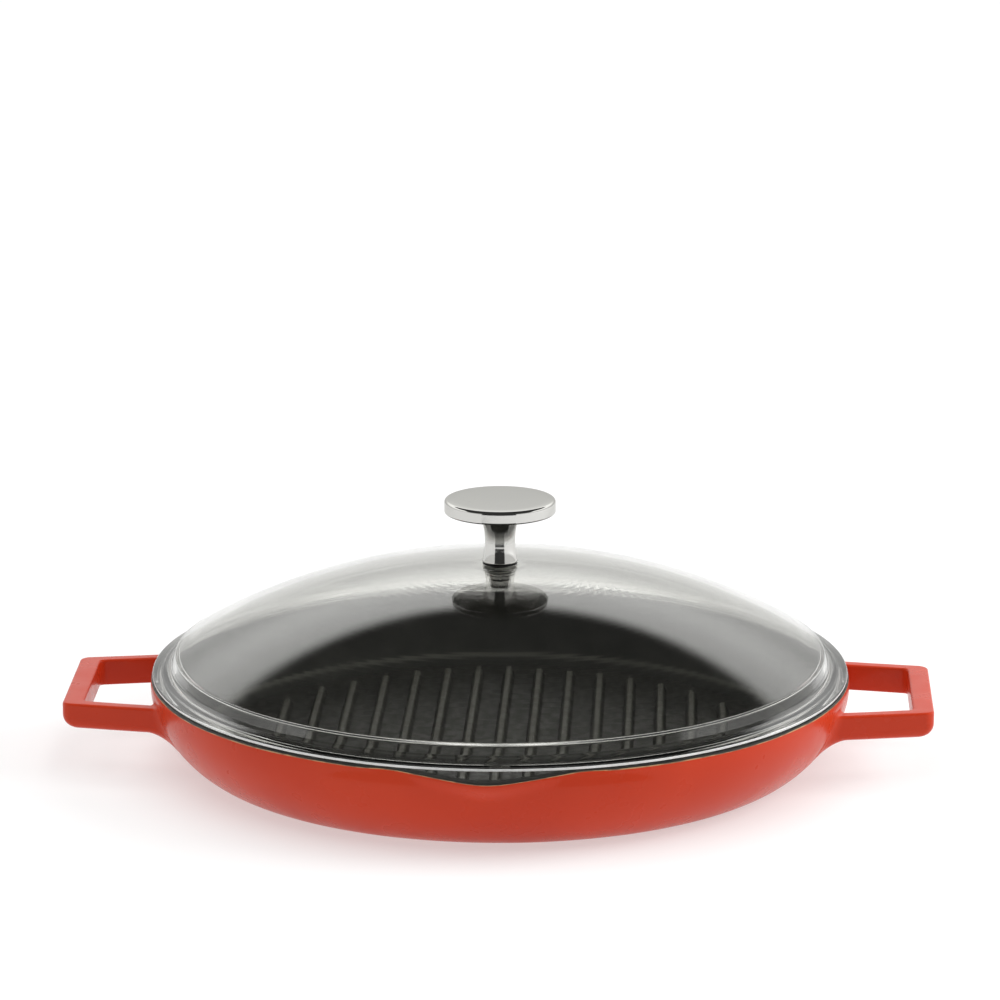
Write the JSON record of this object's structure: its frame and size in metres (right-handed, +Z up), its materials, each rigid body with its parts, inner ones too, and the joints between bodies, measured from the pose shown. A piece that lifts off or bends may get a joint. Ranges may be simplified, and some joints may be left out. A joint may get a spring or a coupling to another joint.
{
  "type": "covered grill pan",
  "caption": "Round cast-iron grill pan with ribbed floor, side loop handles, pouring spouts and a domed glass lid with a steel knob that lifts straight off.",
  "frame": {"origin": "centre of the flat base, on the pan's axis", "axes": "+Z up along the pan's axis, +X through the loop handles, +Y through the spouts"},
  "size_m": [0.371, 0.3084, 0.1139],
  "materials": {
    "red_enamel": "cast iron in thick gloss orange-red enamel, lighter towards the rim",
    "clear_glass": "clear tempered glass, pressed, faintly uneven",
    "polished_steel": "mirror-polished stainless steel",
    "plain_steel": "turned stainless steel",
    "black_silicone": "matt black silicone",
    "clear_silicone": "milky, uncoloured silicone",
    "black_enamel": "matt black enamel on cast iron, inside and on the rim"
  },
  "bodies": {
    "pan": {"pan_casting": "red_enamel"},
    "lid": {"lid_glass": "clear_glass", "knob_disc": "polished_steel", "knob_stem": "polished_steel", "knob_screw": "plain_steel", "upper_seal_washer": "black_silicone", "lid_hole_grommet": "clear_silicone", "screw_cup_washer": "plain_steel", "spring_lock_washer": "plain_steel"}
  },
  "joints": [
    {"name": "lid_lift", "type": "slide", "parent": "pan", "child": "lid", "axis": [0, 0, 1], "range_m": [0, 0.12]}
  ]
}
